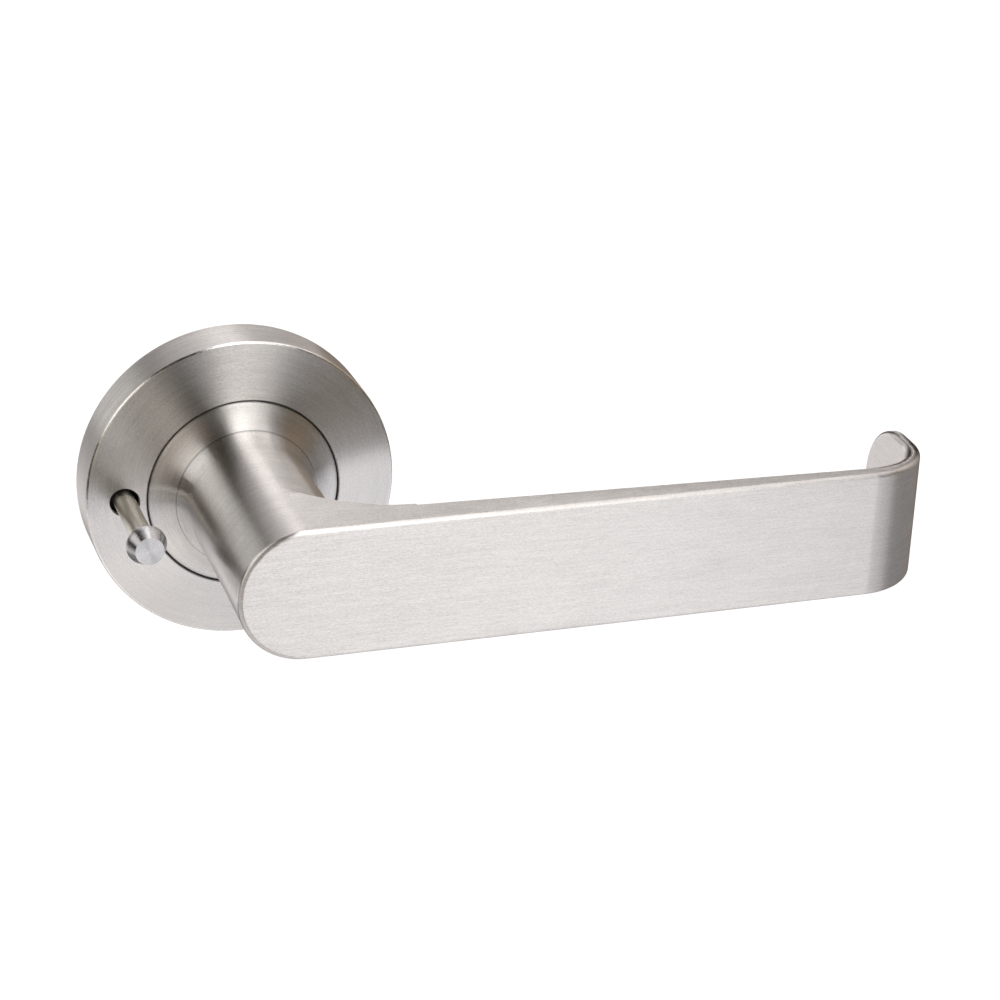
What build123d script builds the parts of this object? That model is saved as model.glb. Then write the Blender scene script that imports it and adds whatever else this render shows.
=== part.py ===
from build123d import *
from math import asin, atan2, degrees, hypot, radians, sin, cos, sqrt
import os

# Door lever handle with its round rose, spindle and push-in privacy pin.
# Every piece is drawn as seen from the front of the door: x right, y up and z
# out of the door, with z = 0 on the door face and the spindle on the z axis.
# export_piece() then stands it up in the row's frame: +X along the lever,
# +Y into the door, +Z up. All dimensions are millimetres.

# ---- rose ----
ROSE_R = 32.5
ROSE_RIM_D = 10.75       # front rim, distance from the door
ROSE_INNER_D = 12.36     # front face where it meets the turning collar
COVER_CAVITY_R = 31.0
COVER_BORE_R = 20.3
RIM_ROUND = 0.6

# ---- turning collar and neck ----
COLLAR_R = 20.0
COLLAR_EDGE_D = 12.3
COLLAR_TOP_R = 15.04
NECK_JOINT_D = 15.24
NECK_FOOT_R = 15.0
NECK_R = 13.2
NECK_FLARE_D = 20.0
BOSS_R = 9.0
BOSS_END_D = 0.35

# ---- grip ----
GRIP_FRONT_D = 63.6
GRIP_HALF = 13.6         # half the grip's height at its front face
REAR_NEAR = (27.0, 55.4)     # rear face beside the neck
REAR_FAR = (116.5, 59.5)     # rear face before the bend
WEB_R = 14.0                 # round between the neck and the rear face
BEND_X = 118.2
BEND_R = 16.0
BEND_TURN = 86.0             # the return leans 4 degrees outward
RETURN_THICK = 3.0
RETURN_END_D = 31.5
DRAFT_D = RETURN_END_D + NECK_R  # from here forward the sides spread to GRIP_HALF
EDGE_ROUND = 1.0
REAR_ROUND = 1.0

# ---- bearing stack, distances from the door ----
HUB_BORE_R = 11.0
HUB_R = 13.6
HUB_D = (2.6, 6.4)
FLOOR_D = 3.2
BASE_R = 30.8
BUSH_BORE_R = 9.05
FLANGE = 0.5
THRUST_D = (6.92, 7.45)
CAM_D = (7.5, 9.0)
FLAT_HALF = 7.8
PRESS_GAP = 0.02         # keeps pressed pieces from overlapping in the solids
RING_D = (0.85, 1.7)
WASHER_D = (1.7, 2.05)

# ---- centring spring, lug and stops ----
SPRING_R = 14.6
WIRE_R = 0.7
SPRING_D = (3.95, 6.75)
LEG_OFFSET = 3.25
LEG_END_R = 22.0
LUG_HALF = 2.5
STOP_ANGLE = 64.0

# ---- spindle and its screw ----
SPINDLE_SIDE = 7.6
SPINDLE_D = (-55.0, 33.0)
GRUB_D = 26.0
GRUB_R = 2.5

# ---- fixings ----
POST_PITCH = 38.0
POST_R = 2.6
POST_THREAD_R = 1.65
SNAP_D = 2.0

# ---- privacy pin ----
PIN_X = -24.7
PIN_R = 2.2
PIN_TAIL_R = 1.5
PIN_TAIL_D = (-9.5, -0.5)
PIN_HOLE_R = 3.1
KNOB_R = 4.1
KNOB_FACE_R = 2.9
KNOB_D = (31.6, 33.2, 36.4)  # back, widest ring, face
GUIDE_R = 4.4
GUIDE_D = (3.7, 9.2)
O_RING_D = 7.9


def turned(outline):
    """Solid turned about the spindle axis from (radius, distance) corners."""
    face = make_face(Polyline(*outline, close=True))
    return Rot(90, 0, 0) * revolve(face, Axis.Y)


def turned_face(wire_parts):
    """Solid turned about the spindle axis from a closed run of lines and arcs."""
    face = make_face(Curve() + wire_parts)
    return Rot(90, 0, 0) * revolve(face, Axis.Y)


def rod(radius, near, far, x=0.0, y=0.0):
    """Round bar square to the door between two distances from it."""
    return Pos(x, y, (near + far) / 2) * Cylinder(radius, far - near)


def ring(inner, outer, near, far, x=0.0, y=0.0):
    return rod(outer, near, far, x, y) - rod(inner, near - 1, far + 1, x, y)


def block(x0, x1, y0, y1, z0, z1):
    return Pos((x0 + x1) / 2, (y0 + y1) / 2, (z0 + z1) / 2) * Box(x1 - x0, y1 - y0, z1 - z0)


def wire_ring(radius, wire, distance, x=0.0):
    return Pos(x, 0, distance) * Torus(radius, wire)


def sector(radius, start, sweep, near, far):
    """Pie-shaped block used to cut gaps in rings."""
    outline = Sketch() + make_face(
        Polyline(
            (0, 0),
            Vector(radius, 0).rotate(Axis.Z, start),
            Vector(radius, 0).rotate(Axis.Z, start + sweep),
            close=True,
        )
    )
    return Pos(0, 0, near) * extrude(outline, far - near)


# ---------------------------------------------------------------- lever side

def side_at(distance):
    """Half the height of the grip, and radius of its round end, at a distance from the door."""
    share = max(0, (distance - DRAFT_D) / (GRIP_FRONT_D - DRAFT_D))
    return NECK_R + share * (GRIP_HALF - NECK_R)


def drafted():
    """Envelope of the neck and grip: round on the left, slightly spreading towards the front."""
    section = [(NECK_R, 0), (NECK_R, DRAFT_D), (side_at(80), 80)]
    half = make_face(Polyline((0, 0), *section, (0, 80), close=True))
    round_end = Rot(90, 0, 0) * revolve(half, Axis.Y)
    mirrored = [(-r, d) for r, d in reversed(section)]
    flat = Plane.YZ * make_face(Polyline(*section, *mirrored, close=True))
    return round_end + extrude(flat, 200)


def neck():
    """Flared foot, straight neck and the boss that runs in the rose."""
    foot = ThreePointArc((NECK_FOOT_R, NECK_JOINT_D), (13.726, 17.3), (NECK_R, NECK_FLARE_D))
    top_d = GRIP_FRONT_D - 3
    rest = Polyline(
        (NECK_R, NECK_FLARE_D), (NECK_R, DRAFT_D), (side_at(top_d), top_d), (0, top_d),
        (0, BOSS_END_D), (BOSS_R, BOSS_END_D), (BOSS_R, NECK_JOINT_D), (NECK_FOOT_R, NECK_JOINT_D),
    )
    return turned_face([foot, rest])


def web():
    """Concave round between the neck and the back of the grip."""
    near_x, near_d = REAR_NEAR
    middle = Vector(-WEB_R, 0).rotate(Axis.Z, -45) + Vector(NECK_R + WEB_R, near_d - WEB_R)
    arc = ThreePointArc((NECK_R, near_d - WEB_R), (middle.X, middle.Y), (NECK_R + WEB_R, near_d))
    rest = Polyline(
        (NECK_R + WEB_R, near_d), (NECK_R + WEB_R, near_d + 2), (NECK_R - 3, near_d + 2),
        (NECK_R - 3, near_d - WEB_R), (NECK_R, near_d - WEB_R),
    )
    return turned_face([arc, rest]) & drafted() & block(0, 40, -20, 20, 30, GRIP_FRONT_D - 1)


def grip_outline():
    """Plan view of the grip: flat front, tapering back, bend and return."""
    along = Vector(0, 1).rotate(Axis.Z, -(90 + BEND_TURN))
    side = Vector(-along.Y, along.X)
    centre = Vector(BEND_X, GRIP_FRONT_D - BEND_R)
    mid_bend = centre + Vector(0, BEND_R).rotate(Axis.Z, -BEND_TURN / 2)
    bend_end = centre + Vector(0, BEND_R).rotate(Axis.Z, -BEND_TURN)
    length = (bend_end.Y - RETURN_END_D) / -along.Y
    outer_end = bend_end + along * length
    inner_start = bend_end - side * RETURN_THICK
    inner_end = outer_end - side * RETURN_THICK
    far_x, far_d = REAR_FAR
    slope = Vector(far_x - REAR_NEAR[0], far_d - REAR_NEAR[1]).normalized()
    start_d = REAR_NEAR[1] - (REAR_NEAR[0] + GRIP_HALF) * slope.Y / slope.X
    pts = [(p.X, p.Y) for p in (mid_bend, bend_end, outer_end, inner_end, inner_start)]
    front = Line((-GRIP_HALF, GRIP_FRONT_D), (BEND_X, GRIP_FRONT_D))
    outer = ThreePointArc((BEND_X, GRIP_FRONT_D), pts[0], pts[1])
    end = Polyline(pts[1], pts[2], pts[3], pts[4])
    inner = Spline(pts[4], REAR_FAR, tangents=[(-along.X, -along.Y), (-slope.X, -slope.Y)])
    back = Polyline(REAR_FAR, (-GRIP_HALF, start_d), (-GRIP_HALF, GRIP_FRONT_D))
    return make_face(Curve() + [front, outer, end, inner, back])


def grip():
    """Bar with a round left end and a return whose end is round in side view."""
    bar = (Rot(90, 0, 0) * extrude(grip_outline(), 20, both=True)) & drafted()
    cut_d = RETURN_END_D + NECK_R
    corner = block(120, 150, -20, 20, 20, cut_d)
    corner -= Pos(135, 0, cut_d) * Rot(0, 90, 0) * Cylinder(NECK_R, 60)
    return bar - corner


def off_outer_face(point):
    """How far a point is from the outer face: flat front, bend and return."""
    across = point.X - BEND_X
    out = point.Z - (GRIP_FRONT_D - BEND_R)
    if across <= 0:
        return abs(point.Z - GRIP_FRONT_D)
    if degrees(atan2(across, out)) <= BEND_TURN:
        return abs(hypot(across, out) - BEND_R)
    turn = radians(BEND_TURN)
    return abs(across * sin(turn) + out * cos(turn) - BEND_R)


def outer_edges(bar):
    """Edges that run round the outer face, where it meets the sides and the round ends."""
    picked = []
    for edge in bar.edges():
        crosses_face = abs((edge @ 0.5).Y) < 0.5 and (edge @ 0.5).X > 0
        on_face = max(off_outer_face(edge @ t) for t in (0.05, 0.3, 0.5, 0.7, 0.95)) < 0.03
        if on_face and not crosses_face or on_round_end(edge):
            picked.append(edge)
    return picked


def on_round_end(edge):
    middle = edge @ 0.5
    return middle.X < -1 and abs(middle.Z - GRIP_FRONT_D) < 0.01


def rear_edges(body):
    """Edges behind the grip: along the back, inside the bend and round the return."""
    picked = []
    for edge in body.edges():
        middle = edge @ 0.5
        inside = off_outer_face(middle) > 2.5 and edge.length > 2 and middle.X > 5
        on_side = abs(abs(middle.Y) - side_at(middle.Z)) < 0.02
        at_end = abs(middle.Y) < 1 and middle.X > 120 and middle.Z < RETURN_END_D + 0.1
        if inside and (on_side or at_end):
            picked.append(edge)
    return picked


def lever_handle():
    bar = grip()
    bar = fillet(outer_edges(bar), EDGE_ROUND)
    bar = fillet(rear_edges(bar), REAR_ROUND)
    body = bar + neck() + web()
    body -= ring(BOSS_R - 0.75, BOSS_R + 3, RING_D[0] - 0.03, RING_D[1] + 0.03)
    for side in (1, -1):
        y0, y1 = sorted((side * FLAT_HALF, side * (BOSS_R + 2)))
        body -= block(-12, 12, y0, y1, BOSS_END_D - 1, CAM_D[1])
    half = SPINDLE_SIDE / 2 + 0.05
    body -= block(-half, half, -half, half, -1, SPINDLE_D[1] + 0.5)
    body -= Pos(0, -8, GRUB_D) * Rot(90, 0, 0) * Cylinder(GRUB_R, 14)
    return body


def neck_collar():
    flare = ThreePointArc((COLLAR_R - 0.3, COLLAR_EDGE_D), (17.15, 13.48), (COLLAR_TOP_R, NECK_JOINT_D))
    rest = Polyline(
        (COLLAR_TOP_R, NECK_JOINT_D), (BOSS_R + PRESS_GAP, NECK_JOINT_D),
        (BOSS_R + PRESS_GAP, CAM_D[1]), (11.0, CAM_D[1]),
        (11.0, 10.3), (COLLAR_R, 10.3), (COLLAR_R, COLLAR_EDGE_D - 0.3),
        (COLLAR_R - 0.3, COLLAR_EDGE_D),
    )
    return turned_face([flare, rest])


def drive_cam():
    """Plate on the boss flats with an arm and a lug between the spring legs."""
    plate = rod(13.2, *CAM_D) + block(8, 18.8, -4, 4, *CAM_D)
    lug = block(16.4, 18.4, -LUG_HALF, LUG_HALF, FLOOR_D + 0.2, CAM_D[1])
    flat = FLAT_HALF + PRESS_GAP
    hole = rod(BOSS_R + PRESS_GAP, CAM_D[0] - 1, CAM_D[1] + 1) & block(-12, 12, -flat, flat, 0, 20)
    return plate + lug - hole


def retaining_ring():
    """Open snap ring with two pierced ears."""
    body = ring(BOSS_R - 0.73, 10.4, *RING_D) - sector(20, 70, 40, 0, 4)
    for angle in (64, 116):
        ear = Vector(10.3, 0).rotate(Axis.Z, angle)
        body += rod(1.5, *RING_D, ear.X, ear.Y)
        body -= rod(0.6, 0, 4, ear.X, ear.Y)
    return body - rod(BOSS_R - 0.73, 0, 4)


def backing_washer():
    return ring(BOSS_R + 0.02, 11.6, *WASHER_D)


def spindle():
    bar = block(-3.8, 3.8, -3.8, 3.8, *SPINDLE_D)
    return chamfer(bar.edges().filter_by(Axis.Z), 0.4)


def spindle_grub_screw():
    body = Pos(0, -8.2, GRUB_D) * Rot(90, 0, 0) * Cylinder(GRUB_R - 0.02, 8.7)
    socket = extrude(RegularPolygon(1.45, 6), 2.5)
    return body - Pos(0, -10.1, GRUB_D) * Rot(90, 0, 0) * socket


# ----------------------------------------------------------------- rose side

def rose_cover():
    """Thin cover with the collar opening, the pin hole and a prising notch."""
    outside = [(ROSE_R, 0), (ROSE_R, ROSE_RIM_D), (COVER_BORE_R, ROSE_INNER_D)]
    inside = [(COVER_BORE_R, 10.86), (30.2, 9.2), (COVER_CAVITY_R, 8.4), (COVER_CAVITY_R, 0)]
    shell = turned(outside + inside)
    circles = shell.edges().filter_by(GeomType.CIRCLE)
    rim = [e for e in circles if abs(e.radius - ROSE_R) < 0.01 and e.center().Z > 5]
    shell = fillet(rim, RIM_ROUND)
    bore = [
        e for e in shell.edges().filter_by(GeomType.CIRCLE)
        if abs(e.radius - COVER_BORE_R) < 0.01 and e.center().Z > 12
    ]
    shell = chamfer(bore, 0.2)
    shell -= rod(PIN_HOLE_R, 5, 15, PIN_X)
    shell -= wire_ring(30.75, 0.52, SNAP_D)
    shell -= block(-3, 3, -34, -30, -1, 1.0)
    return shell


def base_plate():
    """Cast base: floor, bearing hub, spring post, stops and pin seat."""
    body = rod(BASE_R, 0, FLOOR_D) - rod(12.4, -1, HUB_D[0])
    body = body + rod(HUB_R, *HUB_D) - rod(HUB_BORE_R, -1, 10)
    body += block(19.4, 22.4, -LUG_HALF, LUG_HALF, FLOOR_D - 0.5, 7.4)
    for angle in (STOP_ANGLE, -STOP_ANGLE):
        body += Rot(0, 0, angle) * block(16.6, 19.6, -1.2, 1.2, FLOOR_D - 0.5, 8.6)
    body += rod(5.4, 0, 8.6, PIN_X)
    body -= rod(GUIDE_R, GUIDE_D[0], 12, PIN_X)
    body -= rod(3.9, -1, 12, PIN_X)
    for y in (POST_PITCH / 2, -POST_PITCH / 2):
        body -= rod(POST_R, -1, 5, 0, y)
    body -= wire_ring(30.75, 0.52, SNAP_D)
    body -= block(-2.5, 2.5, -31.5, -29.2, -1, 1.2)
    return body


def bearing_bush(near, far, flange_near, flange_far):
    return ring(BUSH_BORE_R, HUB_BORE_R, near, far) + ring(BUSH_BORE_R, 11.9, flange_near, flange_far)


def front_bush():
    return bearing_bush(4.55, HUB_D[1], HUB_D[1], HUB_D[1] + FLANGE)


def rear_bush():
    return bearing_bush(HUB_D[0], 4.45, HUB_D[0] - FLANGE, HUB_D[0])


def thrust_washer():
    return ring(BOSS_R + 0.2, 12.6, HUB_D[1] + FLANGE, THRUST_D[1])


def return_spring():
    """Centring torsion spring whose legs straddle the cam lug and the post."""
    angle = degrees(asin(LEG_OFFSET / SPRING_R))
    turns = 2 - 2 * angle / 360
    rise = SPRING_D[1] - SPRING_D[0]
    body = Part()
    for half in (0, 1):
        near = SPRING_D[0] + half * rise / 2
        run = Helix(rise / turns, rise / 2, SPRING_R)
        run = Rot(0, 0, angle + half * 180 * turns) * Pos(0, 0, near) * run
        body += sweep(Plane(origin=run @ 0, z_dir=run % 0) * Circle(WIRE_R), run, is_frenet=True)
    start_x = sqrt(SPRING_R**2 - LEG_OFFSET**2)
    for y, distance in ((LEG_OFFSET, SPRING_D[0]), (-LEG_OFFSET, SPRING_D[1])):
        leg = Rot(0, 90, 0) * Cylinder(WIRE_R, LEG_END_R - start_x)
        elbow = Sphere(WIRE_R * 1.03)
        body += [Pos((LEG_END_R + start_x) / 2, y, distance) * leg, Pos(start_x, y, distance) * elbow]
    return body


def fixing_posts():
    """Two threaded posts that take the bolts from the other side of the door."""
    posts = Part()
    for y in (POST_PITCH / 2, -POST_PITCH / 2):
        posts += rod(POST_R, -8, FLOOR_D, 0, y) + rod(3.2, FLOOR_D, 4.4, 0, y)
        posts -= rod(POST_THREAD_R, -9, 3.4, 0, y)
    return posts


def cover_snap_ring():
    """Round wire ring with a gap at the top, half in the base, half in the cover."""
    return wire_ring(30.75, 0.5, SNAP_D) - sector(60, 80, 20, 0, 5)


# --------------------------------------------------------------- privacy pin

def privacy_pin():
    body = rod(PIN_R, PIN_TAIL_D[1], KNOB_D[0] + 2.6, PIN_X) + rod(PIN_TAIL_R, *PIN_TAIL_D, PIN_X)
    body -= ring(1.7, 4, 2.85, 3.5, PIN_X)
    tail = body.edges().filter_by(GeomType.CIRCLE).sort_by(Axis.Z)[0]
    return chamfer(tail, 0.3)


def pin_knob():
    """Turned knob on the end of the pin, wider than the hole in the cover."""
    back, widest, face = KNOB_D
    outline = [
        (0, back + 2.6), (PIN_R, back + 2.6), (PIN_R, back), (PIN_R + 0.5, back), (KNOB_R, widest - 0.2),
        (KNOB_R, widest + 0.1), (KNOB_FACE_R, face), (0, face),
    ]
    return Pos(PIN_X, 0, 0) * turned(outline)


def pin_guide_bush():
    body = ring(PIN_R + 0.05, GUIDE_R, *GUIDE_D, PIN_X)
    return body - rod(3.3, O_RING_D - 0.55, O_RING_D + 0.55, PIN_X)


def pin_o_ring():
    return wire_ring(2.76, 0.53, O_RING_D, PIN_X)


def pin_retaining_clip():
    body = ring(1.72, 3.5, 2.88, 3.47, PIN_X)
    return body - block(PIN_X - 1.4, PIN_X + 1.4, -5, -0.5, 2, 5)


PIECES = [
    lever_handle, neck_collar, drive_cam, retaining_ring, backing_washer, spindle, spindle_grub_screw,
    rose_cover, base_plate, front_bush, rear_bush, thrust_washer, return_spring, fixing_posts,
    cover_snap_ring, privacy_pin, pin_knob, pin_guide_bush, pin_o_ring, pin_retaining_clip,
]


def export_piece(make):
    """Stand one piece up in the row's frame and write it under its own name."""
    name = make.__name__
    piece = Rot(90, 0, 0) * make()
    if name != "fixing_posts":
        piece = piece.solid()
    piece.label = name
    export_step(piece, f"parts/{name}.step")
    size = piece.bounding_box().size
    print(f"{name}: {size.X:.1f} x {size.Y:.1f} x {size.Z:.1f} mm, {piece.volume / 1000:.2f} cm3")


os.makedirs("parts", exist_ok=True)
for make in PIECES:
    export_piece(make)
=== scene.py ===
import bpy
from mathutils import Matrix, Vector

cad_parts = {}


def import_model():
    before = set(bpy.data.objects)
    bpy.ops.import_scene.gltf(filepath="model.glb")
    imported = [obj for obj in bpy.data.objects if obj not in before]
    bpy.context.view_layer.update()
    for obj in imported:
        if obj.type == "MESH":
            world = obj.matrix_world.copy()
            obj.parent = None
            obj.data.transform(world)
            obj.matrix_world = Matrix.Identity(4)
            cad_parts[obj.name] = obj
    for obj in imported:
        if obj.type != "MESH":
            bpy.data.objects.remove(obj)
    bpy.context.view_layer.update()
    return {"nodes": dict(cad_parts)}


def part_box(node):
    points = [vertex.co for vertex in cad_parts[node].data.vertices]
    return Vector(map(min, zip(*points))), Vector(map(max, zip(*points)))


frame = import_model()

import math

import bpy
from mathutils import Matrix, Quaternion, Vector

NODES = frame["nodes"]
GRIP_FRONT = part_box("lever_handle")[0][1]        # y of the flat front of the grip
RUNNING_GAP = 0.0003                             # between the collar and the rose
GAP_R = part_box("neck_collar")[1][0] + RUNNING_GAP / 2


# ------------------------------------------------------------ node helpers

class Graph:
    """Short names for building a material's or the world's nodes."""

    def __init__(self, tree):
        self.tree = tree
        tree.nodes.clear()

    def node(self, kind, **settings):
        made = self.tree.nodes.new(kind)
        for key, value in settings.items():
            setattr(made, key, value)
        return made

    def put(self, socket, value):
        if isinstance(value, bpy.types.NodeSocket):
            self.tree.links.new(value, socket)
        elif value is not None:
            socket.default_value = value

    def math(self, operation, a, b=None, c=None, clamp=False):
        made = self.node("ShaderNodeMath", operation=operation, use_clamp=clamp)
        for socket, value in zip(made.inputs, (a, b, c)):
            self.put(socket, value)
        return made.outputs[0]

    def vec(self, operation, a, b=None, scale=None):
        made = self.node("ShaderNodeVectorMath", operation=operation)
        self.put(made.inputs[0], a)
        self.put(made.inputs[1], b)
        if scale is not None:
            self.put(made.inputs["Scale"], scale)
        return made.outputs["Value" if operation in ("LENGTH", "DOT_PRODUCT") else "Vector"]

    def split(self, vector):
        made = self.node("ShaderNodeSeparateXYZ")
        self.put(made.inputs[0], vector)
        return made.outputs

    def join(self, x, y, z):
        made = self.node("ShaderNodeCombineXYZ")
        for socket, value in zip(made.inputs, (x, y, z)):
            self.put(socket, value)
        return made.outputs[0]

    def step(self, value, low, high, to_low=0.0, to_high=1.0):
        made = self.node("ShaderNodeMapRange", interpolation_type="SMOOTHSTEP")
        for socket, given in zip(made.inputs, (value, low, high, to_low, to_high)):
            self.put(socket, given)
        return made.outputs[0]

    def noise(self, vector, scale, detail=3.0, roughness=0.55):
        made = self.node("ShaderNodeTexNoise")
        self.put(made.inputs["Vector"], vector)
        self.put(made.inputs["Scale"], scale)
        self.put(made.inputs["Detail"], detail)
        self.put(made.inputs["Roughness"], roughness)
        return made.outputs["Fac"]

    def mix(self, factor, a, b):
        made = self.node("ShaderNodeMix", data_type="VECTOR")
        self.put(made.inputs[0], factor)
        self.put(made.inputs[4], a)
        self.put(made.inputs[5], b)
        return made.outputs[1]

    def bump(self, height, strength, distance):
        made = self.node("ShaderNodeBump")
        self.put(made.inputs["Strength"], strength)
        self.put(made.inputs["Distance"], distance)
        self.put(made.inputs["Height"], height)
        return made.outputs[0]


def start(name):
    material = bpy.data.materials.new(name)
    material.use_nodes = True
    graph = Graph(material.node_tree)
    shader = graph.node("ShaderNodeBsdfPrincipled")
    output = graph.node("ShaderNodeOutputMaterial")
    graph.tree.links.new(shader.outputs[0], output.inputs["Surface"])
    coords = graph.node("ShaderNodeTexCoord")
    return material, graph, shader.inputs, coords.outputs["Object"], coords.outputs["Normal"]


# --------------------------------------------------------- brushed stainless

FINE = 8200.0            # scratches per metre across the brushing
SHORT = 2100.0           # per metre along it, for the short dashes
LONG = 160.0             # and for the long lines
DASH_GAIN = 0.75         # how strongly each size of mark shows
LINE_GAIN = 0.45
BAND_GAIN = 0.16
PATCH_GAIN = 0.08
PATCH_SCALE = 55.0       # soft patches per metre, the same in every direction
SHADE_GAIN = 1.15        # what the fine scratches do to the colour,
ROUGH_GAIN = 0.30        # to the roughness
RELIEF_GAIN = 0.35       # and to the relief
RELIEF_DEPTH = 0.00003
HIGHLIGHT_BRIGHTER = 0.25     # a worn edge against the brushed metal beside it: lighter colour as a painted highlight, and smoother
WORN_SMOOTHER = 0.3


def scratches(g, across, along_a, along_b):
    """Brushing in three sizes: fine short dashes, long lines and faint wide bands."""
    def layer(thin, length, detail):
        return g.noise(g.join(g.math("MULTIPLY", along_a, length), g.math("MULTIPLY", along_b, length),
                              g.math("MULTIPLY", across, thin)), 1.0, detail, 0.6)
    return layer(FINE, SHORT, 2.0), layer(FINE * 0.6, LONG, 3.0), layer(FINE * 0.07, LONG * 0.2, 2.0)


def centred(g, value, gain):
    """Noise moved to run about zero, then scaled."""
    return g.math("MULTIPLY", g.math("SUBTRACT", value, 0.5), gain)


def steel(g, shader, place, normal, along, layers, tint, rough, grain, wear_and_highlight, shadow):
    """Colour, roughness and relief follow the same scratches; worn edges are smoother and get a painted
    highlight in the colour, and the shadow factor darkens the colour as painted shade.
    """
    dashes, lines, bands = layers
    fine = g.math("ADD", centred(g, dashes, DASH_GAIN), centred(g, lines, LINE_GAIN))
    patches = g.noise(place, PATCH_SCALE, 3.0, 0.5)
    wide = g.math("ADD", centred(g, bands, BAND_GAIN), centred(g, patches, PATCH_GAIN))
    shade = g.math("ADD", g.math("MULTIPLY_ADD", fine, SHADE_GAIN * grain, 1.0), wide)
    roughness = g.math("MULTIPLY_ADD", fine, ROUGH_GAIN * grain, rough)
    # painted highlight: worn edges are made lighter in colour; their lower roughness below is real wear
    shade = g.math("MULTIPLY", shade, g.math("MULTIPLY_ADD", wear_and_highlight, HIGHLIGHT_BRIGHTER, 1.0))
    roughness = g.math("MULTIPLY", roughness, g.math("MULTIPLY_ADD", wear_and_highlight, -WORN_SMOOTHER, 1.0))
    # painted shade: the shadow factor darkens the colour
    shade = g.math("MULTIPLY", shade, shadow)
    g.put(shader["Base Color"], g.vec("SCALE", tint, scale=shade))
    g.put(shader["Roughness"], roughness)
    shader["Metallic"].default_value = 1.0
    shader["Anisotropic"].default_value = 1.0
    across_way = g.vec("NORMALIZE", g.vec("CROSS_PRODUCT", along, normal))
    to_world = g.node(
        "ShaderNodeVectorTransform", vector_type="VECTOR", convert_from="OBJECT", convert_to="WORLD")
    g.put(to_world.inputs[0], across_way)
    g.put(shader["Tangent"], to_world.outputs[0])
    g.put(shader["Normal"], g.bump(fine, RELIEF_GAIN * grain, RELIEF_DEPTH))


# A pair holds the two ends of a mask's smooth step. A slope is the part of the surface
# normal along Y: 0 on the rim's side, 1 on a face that looks out of the door.
TURNED_R = 0.025                 # radius at which the turned scratches have their true length
WEAR_AND_HIGHLIGHT_SLOPE = (0.15, 0.4)         # worn edges, with their painted highlight, lie between these two slopes
FACE_SLOPE = (0.93, 0.985)
WEAR_AND_HIGHLIGHT_RADIUS = (0.029, 0.0295)    # and outside this radius
SIDE_SLOPE = (0.1, 0.3)          # the rim's side has deeper cuts
CUTS_ROUND = 2.2                 # their scale round the rim and per metre across it
CUTS_ACROSS = 2600.0
CUTS_GAIN = 0.45
GAP_REACH = (0.00015, 0.00045)   # distance from the middle of the running gap
GAP_SHADE_AND_DIRT = 0.5                   # painted shade and dirt at the running gap: how much darker the metal is there


def round_steel(name, tint, rough, grain=1.0, centre=(0.0, 0.0)):
    """Brushed on a lathe: the scratches run round an axis along Y."""
    material, g, shader, place, normal = start(name)
    x, y, z = g.split(place)
    x = g.math("SUBTRACT", x, centre[0])
    z = g.math("SUBTRACT", z, centre[1])
    spoke = g.join(x, 0.0, z)
    radius = g.vec("LENGTH", spoke)
    spoke = g.vec("NORMALIZE", spoke)
    along = g.vec("CROSS_PRODUCT", spoke, (0.0, 1.0, 0.0))
    sx, _, sz = g.split(spoke)
    around_x = g.math("MULTIPLY", sx, TURNED_R)
    around_z = g.math("MULTIPLY", sz, TURNED_R)
    layers = scratches(g, g.math("ADD", radius, y), around_x, around_z)
    _, out_of_door, _ = g.split(normal)
    slope = g.math("ABSOLUTE", out_of_door)
    # worn rim edge: smoother, and lighter in colour as a painted highlight
    wear_and_highlight = g.math("MULTIPLY", g.step(slope, *WEAR_AND_HIGHLIGHT_SLOPE), g.step(slope, *FACE_SLOPE, 1.0, 0.0))
    wear_and_highlight = g.math("MULTIPLY", wear_and_highlight, g.step(radius, *WEAR_AND_HIGHLIGHT_RADIUS))
    on_side = g.step(slope, *SIDE_SLOPE, 1.0, 0.0)
    cut_x = g.math("MULTIPLY", sx, CUTS_ROUND)
    cut_z = g.math("MULTIPLY", sz, CUTS_ROUND)
    deep = g.noise(g.join(cut_x, cut_z, g.math("MULTIPLY", y, CUTS_ACROSS)), 1.0, 2.0, 0.5)
    cuts = g.math("MULTIPLY", centred(g, deep, CUTS_GAIN * grain), on_side)
    # painted shade and dirt: the metal darkens towards the running gap; shadow is the rim's cuts times this
    # painted shade
    from_gap = g.math("ABSOLUTE", g.math("SUBTRACT", radius, GAP_R))
    gap_shade_and_dirt = g.step(from_gap, *GAP_REACH, 1.0 - GAP_SHADE_AND_DIRT, 1.0)
    shadow = g.math("MULTIPLY", g.math("ADD", cuts, 1.0), gap_shade_and_dirt)
    steel(g, shader, place, normal, along, layers, tint, rough, grain, wear_and_highlight, shadow)
    return material


BESIDE_FRONT = (GRIP_FRONT + 0.0002, GRIP_FRONT + 0.0010)    # y behind the flat front
NECK_ENDS = (0.030, 0.045)       # x over which the neck's brushing gives way to the grip's
TURN_BIAS = (0.03, 0.0, 0.0)     # keeps the grip's direction defined where the normal is upright
SIDE_FACING = (0.6, 0.9)         # how far a surface faces up or down to take the side's scratches
WEAR_AND_HIGHLIGHT_DEPTH = (GRIP_FRONT + 0.0011, GRIP_FRONT + 0.0009)      # y of the worn front edge and its painted highlight
FRONT_FACING = (0.9, 0.99)       # the flat front itself gets neither wear nor painted highlight
WEAR_AND_HIGHLIGHT_UNTIL = (0.110, 0.120)      # x where the wear and its painted highlight fade out before the bend
WEAR_AND_HIGHLIGHT_GAIN = 0.4
SEAM_RADIUS = (0.01465, 0.01495)     # foot of the neck, where it meets the collar
SEAM_Y = (-0.018, -0.017)
# painted shade in the crease at the neck's foot: how much darker the metal is there
SEAM_SHADE = 0.45


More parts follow.
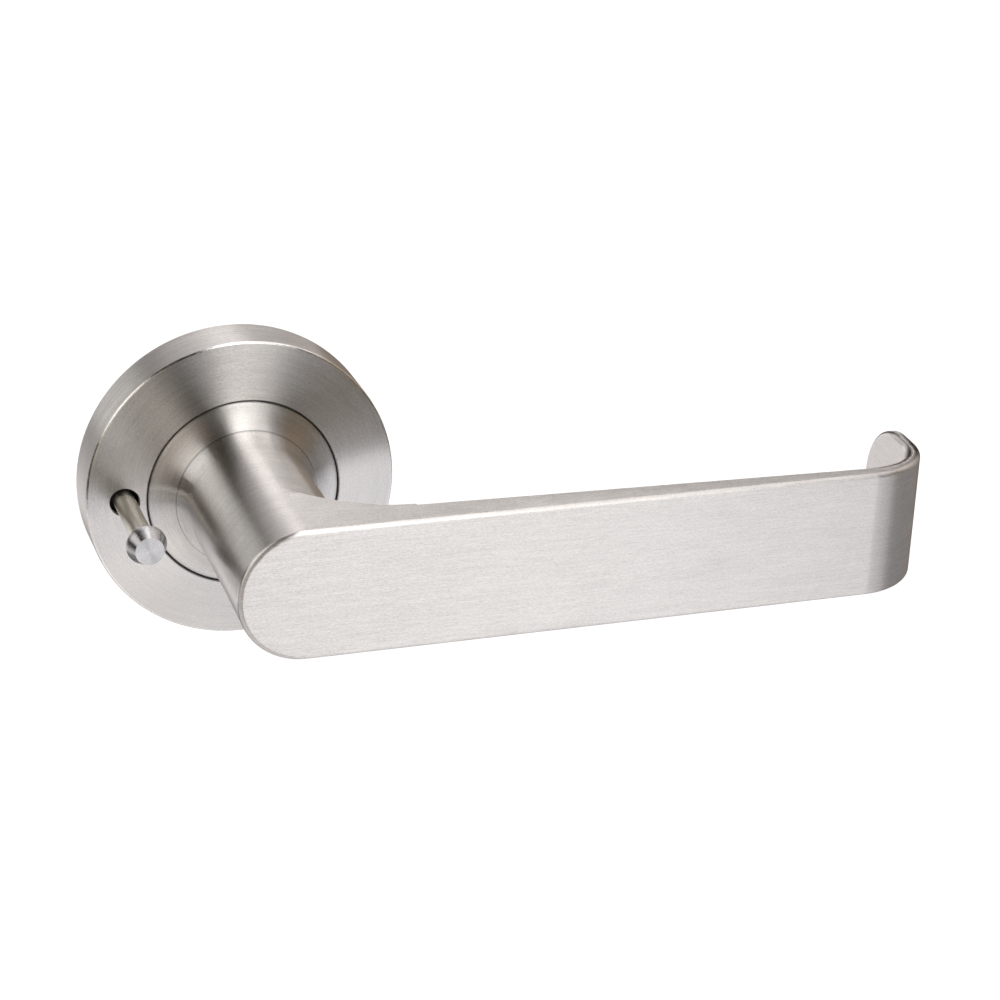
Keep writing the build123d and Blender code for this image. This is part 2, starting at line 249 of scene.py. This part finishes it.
def lever_steel(name, tint, rough, grain=1.0):
    """Brushed along the grip and round its bend, and round the neck."""
    material, g, shader, place, normal = start(name)
    x, y, z = g.split(place)
    _, ny, nz = g.split(normal)
    beside = g.step(y, *BESIDE_FRONT)
    on_neck = g.math("MULTIPLY", beside, g.step(x, *NECK_ENDS, 1.0, 0.0))
    round_neck = g.vec("CROSS_PRODUCT", normal, (0.0, 1.0, 0.0))
    along_bar = g.vec("ADD", g.vec("CROSS_PRODUCT", (0.0, 0.0, 1.0), normal), TURN_BIAS)
    same_way = g.math("SIGN", g.vec("DOT_PRODUCT", round_neck, along_bar))
    round_neck = g.vec("SCALE", g.vec("NORMALIZE", round_neck), scale=same_way)
    along = g.vec("NORMALIZE", g.mix(on_neck, g.vec("NORMALIZE", along_bar), round_neck))
    sideways = g.math("MAXIMUM", on_neck, g.step(g.math("ABSOLUTE", nz), *SIDE_FACING))
    layers = []
    for face, side in zip(scratches(g, z, x, y), scratches(g, y, x, z)):
        layers.append(g.math("MULTIPLY_ADD", g.math("SUBTRACT", side, face), sideways, face))
    facing = g.math("MULTIPLY", ny, -1.0)
    # worn front edge: smoother, and lighter in colour as a painted highlight
    wear_and_highlight = g.math("MULTIPLY", g.step(y, *WEAR_AND_HIGHLIGHT_DEPTH), g.step(facing, *FRONT_FACING, 1.0, 0.0))
    wear_and_highlight = g.math("MULTIPLY", wear_and_highlight, g.step(x, *WEAR_AND_HIGHLIGHT_UNTIL, WEAR_AND_HIGHLIGHT_GAIN, 0.0))
    # painted shade: the metal darkens in the crease where the neck's foot meets the collar
    radius = g.vec("LENGTH", g.join(x, 0.0, z))
    seam = g.math("MULTIPLY", g.step(radius, *SEAM_RADIUS), g.step(y, *SEAM_Y))
    shadow = g.math("MULTIPLY_ADD", seam, -SEAM_SHADE, 1.0)
    steel(g, shader, place, normal, along, layers, tint, rough, grain, wear_and_highlight, shadow)
    return material


def plain_metal(name, tint, rough, grain, spread=0.1):
    """Unbrushed metal: cast, plated, drawn or blackened."""
    material, g, shader, place, _ = start(name)
    fine = g.noise(place, grain, 4.0, 0.6)
    broad = g.noise(place, grain * 0.12, 2.0, 0.5)
    mottle = g.math("MULTIPLY_ADD", g.math("SUBTRACT", broad, 0.5), spread * 2, 1.0)
    g.put(shader["Base Color"], g.vec("SCALE", tint, scale=mottle))
    g.put(shader["Roughness"], g.math("MULTIPLY_ADD", g.math("SUBTRACT", fine, 0.5), 0.3, rough))
    shader["Metallic"].default_value = 1.0
    g.put(shader["Normal"], g.bump(fine, 0.25, 0.00005))
    return material


def plastic(name, tint, rough, grain, gloss=0.5):
    material, g, shader, place, _ = start(name)
    fine = g.noise(place, grain, 3.0, 0.6)
    broad = g.noise(place, grain * 0.1, 2.0, 0.5)
    mottle = g.math("MULTIPLY_ADD", g.math("SUBTRACT", broad, 0.5), 0.12, 1.0)
    g.put(shader["Base Color"], g.vec("SCALE", tint, scale=mottle))
    g.put(shader["Roughness"], g.math("MULTIPLY_ADD", g.math("SUBTRACT", fine, 0.5), 0.2, rough))
    shader["Specular IOR Level"].default_value = gloss
    g.put(shader["Normal"], g.bump(fine, 0.15, 0.00004))
    return material


STAINLESS = (0.74, 0.725, 0.71)
KNOB_STEEL = (0.56, 0.56, 0.57)
SHAFT_STEEL = (0.68, 0.66, 0.59)
PIN_CENTRE = (-0.0247, 0.0)

LOOKS = {
    lever_steel("steel_lever", STAINLESS, 0.36): ["lever_handle"],
    round_steel("steel_rose", STAINLESS, 0.36): ["rose_cover", "neck_collar"],
    round_steel("steel_knob", KNOB_STEEL, 0.26, 0.8, PIN_CENTRE): ["pin_knob"],
    round_steel("steel_shaft", SHAFT_STEEL, 0.22, 1.0, PIN_CENTRE): ["privacy_pin"],
    plain_metal("cast_zinc", (0.50, 0.50, 0.51), 0.5, 2500.0): ["base_plate"],
    plain_metal("plated_steel", (0.62, 0.62, 0.60), 0.34, 4000.0): [
        "drive_cam", "backing_washer", "spindle", "thrust_washer", "fixing_posts"],
    plain_metal("spring_steel", (0.30, 0.30, 0.31), 0.32, 3500.0): [
        "retaining_ring", "return_spring", "cover_snap_ring", "pin_retaining_clip"],
    plain_metal("black_screw_steel", (0.05, 0.05, 0.055), 0.42, 4000.0): ["spindle_grub_screw"],
    plastic("nylon", (0.78, 0.76, 0.70), 0.5, 3000.0): ["front_bush", "rear_bush"],
    plastic("black_nylon", (0.006, 0.006, 0.006), 0.7, 3000.0, 0.15): ["pin_guide_bush"],
    plastic("nitrile_rubber", (0.02, 0.02, 0.02), 0.6, 4000.0): ["pin_o_ring"],
}

for material, names in LOOKS.items():
    for name in names:
        mesh = NODES[name].data
        mesh.materials.clear()
        mesh.materials.append(material)


# ------------------------------------------------------------------ shading

CORNER_ANGLE = math.radians(40.0)     # seams that turn less than this are smooth
SEAM_GAP = 1e-6


def corner_rule():
    """Geometry nodes: every face smooth, every edge that turns more than CORNER_ANGLE sharp."""
    group = bpy.data.node_groups.new("corner_rule", "GeometryNodeTree")
    for way in ("INPUT", "OUTPUT"):
        group.interface.new_socket("Geometry", in_out=way, socket_type="NodeSocketGeometry")
    entry = group.nodes.new("NodeGroupInput")
    leave = group.nodes.new("NodeGroupOutput")
    faces = group.nodes.new("GeometryNodeSetShadeSmooth")
    faces.domain = "FACE"
    edges = group.nodes.new("GeometryNodeSetShadeSmooth")
    edges.domain = "EDGE"
    edges.inputs["Shade Smooth"].default_value = False
    angle = group.nodes.new("GeometryNodeInputMeshEdgeAngle")
    sharp = group.nodes.new("ShaderNodeMath")
    sharp.operation = "GREATER_THAN"
    sharp.inputs[1].default_value = CORNER_ANGLE
    for start_socket, end_socket in (
            (entry.outputs[0], faces.inputs["Geometry"]), (faces.outputs[0], edges.inputs["Geometry"]),
            (angle.outputs["Unsigned Angle"], sharp.inputs[0]), (sharp.outputs[0], edges.inputs["Selection"]),
            (edges.outputs[0], leave.inputs[0])):
        group.links.new(start_socket, end_socket)
    return group


def shade_evenly(piece, rule):
    """Join the seams between CAD faces, so that rounds and bends shade without steps."""
    seams = piece.modifiers.new("join_seams", "WELD")
    seams.merge_threshold = SEAM_GAP
    piece.modifiers.new("corners", "NODES").node_group = rule
    normals = piece.modifiers.new("even_normals", "WEIGHTED_NORMAL")
    normals.keep_sharp = True
    normals.mode = "FACE_AREA_WITH_ANGLE"


rule = corner_rule()
for piece in NODES.values():
    shade_evenly(piece, rule)


# ------------------------------------------------------------------- stage

FLOOR_HALF = 6.0
FLOOR_Z = -0.16

# Most directions and sizes of the lights came from a program that fitted them to the photo,
# and were then rounded, nearly all to 5 degrees. The colours began as least-squares fits and
# were changed by hand. report.md gives this as an open point.
# azimuth, elevation, half width, half height, tilt (degrees), softness of the edge, colour
SOFTBOXES = {
    "left_box": (-90, 30, 30, 20, -10, 0.2, (1.5, 1.48, 1.45)),
    "left_fill": (-35, 10, 25, 25, 0, 0.25, (0.55, 0.48, 0.4)),
    "overhead_box": (65, 70, 45, 20, -15, 0.15, (1.1, 1.05, 1.03)),
    "front_strip": (15, 35, 10, 35, -10, 0.3, (1.85, 1.8, 1.75)),
    "front_low": (20, -25, 20, 20, 0, 0.8, (0.45, 0.47, 0.5)),
    "table_front": (-5, -40, 35, 8, -35, 0.35, (0.4, 0.37, 0.33)),
    "table": (-25, -65, 65, 40, 0, 0.1, (0.8, 0.77, 0.77)),
    "table_right": (60, -30, 45, 15, 5, 0.5, (0.55, 0.56, 0.6)),
    "tan_gap": (65, 20, 20, 15, 0, 0.5, (0.25, 0.17, 0.08)),
    "right_wall": (110, 20, 25, 30, -10, 0.3, (0.45, 0.4, 0.36)),
    "right_box": (105, 45, 30, 10, 35, 0.3, (1.0, 0.95, 0.95)),
    "back_box": (-175, 50, 15, 40, -15, 0.3, (1.2, 1.15, 1.15)),
    "back_left": (-155, -15, 30, 15, 25, 0.35, (1.4, 1.35, 1.35)),
}
DARK_ROOM = (0.015, 0.01, 0.005)

# The camera's lens, place and directions came from a fit to the outlines in the photo.
CAMERA_LENS = 96.03
CAMERA_SENSOR = 36.0
CAMERA_PLACE = (-0.12006, -0.50577, 0.21943)
CAMERA_RIGHT = (0.9465, -0.3202, 0.0387)
CAMERA_UP = (0.0938, 0.388, 0.9169)
CAMERA_FORWARD = (0.3086, 0.8642, -0.3973)


def floor():
    """Plain pale ground, bright enough to leave only a faint soft shadow."""
    mesh = bpy.data.meshes.new("floor")
    corners = [(-1, -1), (1, -1), (1, 1), (-1, 1)]
    mesh.from_pydata([(x * FLOOR_HALF, y * FLOOR_HALF, FLOOR_Z) for x, y in corners], [], [(0, 1, 2, 3)])
    made = bpy.data.objects.new("floor", mesh)
    bpy.context.scene.collection.objects.link(made)
    material, _, shader, _, _ = start("pale_floor")
    shader["Base Color"].default_value = (0.45, 0.45, 0.45, 1.0)
    shader["Roughness"].default_value = 0.8
    shader["Emission Color"].default_value = (1.0, 1.0, 1.0, 1.0)
    shader["Emission Strength"].default_value = 0.78
    mesh.materials.append(material)
    made.visible_glossy = False


def aimed(azimuth, elevation):
    """Direction seen from the door handle: azimuth 0 is out of the door, 90 is along the lever."""
    azimuth = math.radians(azimuth)
    elevation = math.radians(elevation)
    level = math.cos(elevation)
    return Vector((level * math.sin(azimuth), -level * math.cos(azimuth), math.sin(elevation)))


def softbox(g, way, azimuth, elevation, half_wide, half_high, tilt, softness):
    """How much of an oval soft light is seen in a direction: 1 inside, 0 outside."""
    middle = aimed(azimuth, elevation)
    side = middle.cross(Vector((0, 0, 1))).normalized()
    side.rotate(Quaternion(middle, math.radians(-tilt)))
    above = side.cross(middle)
    wide = g.vec("DOT_PRODUCT", way, tuple(side / math.sin(math.radians(half_wide))))
    high = g.vec("DOT_PRODUCT", way, tuple(above / math.sin(math.radians(half_high))))
    reach = g.vec("LENGTH", g.join(wide, high, 0.0))
    oval = g.step(reach, 1.0 - softness, 1.0 + softness, 1.0, 0.0)
    return g.math("MULTIPLY", oval, g.math("GREATER_THAN", g.vec("DOT_PRODUCT", way, tuple(middle)), 0.0))


def world():
    """Soft boxes, a pale table and dark gaps between them; the camera sees plain white past the floor."""
    sky = bpy.data.worlds.new("studio")
    bpy.context.scene.world = sky
    sky.use_nodes = True
    g = Graph(sky.node_tree)
    way = g.node("ShaderNodeTexCoord").outputs["Generated"]
    total = DARK_ROOM
    for azimuth, elevation, half_wide, half_high, tilt, softness, colour in SOFTBOXES.values():
        seen = softbox(g, way, azimuth, elevation, half_wide, half_high, tilt, softness)
        total = g.vec("ADD", total, g.vec("SCALE", colour, scale=seen))
    light = g.node("ShaderNodeBackground")
    g.put(light.inputs["Color"], total)
    plain = g.node("ShaderNodeBackground")
    plain.inputs["Color"].default_value = (1.0, 1.0, 1.0, 1.0)
    pick = g.node("ShaderNodeMixShader")
    g.put(pick.inputs[0], g.node("ShaderNodeLightPath").outputs["Is Camera Ray"])
    g.tree.links.new(light.outputs[0], pick.inputs[1])
    g.tree.links.new(plain.outputs[0], pick.inputs[2])
    output = g.node("ShaderNodeOutputWorld")
    g.tree.links.new(pick.outputs[0], output.inputs["Surface"])


def camera():
    data = bpy.data.cameras.new("camera")
    data.lens = CAMERA_LENS
    data.sensor_width = CAMERA_SENSOR
    data.clip_start = 0.01
    data.clip_end = 50.0
    made = bpy.data.objects.new("camera", data)
    bpy.context.scene.collection.objects.link(made)
    back = [-part for part in CAMERA_FORWARD]
    rows = list(zip(CAMERA_RIGHT, CAMERA_UP, back, CAMERA_PLACE))
    made.matrix_world = Matrix([*rows, (0.0, 0.0, 0.0, 1.0)])
    bpy.context.scene.camera = made


floor()
world()
camera()
scene = bpy.context.scene
scene.view_settings.view_transform = "Standard"
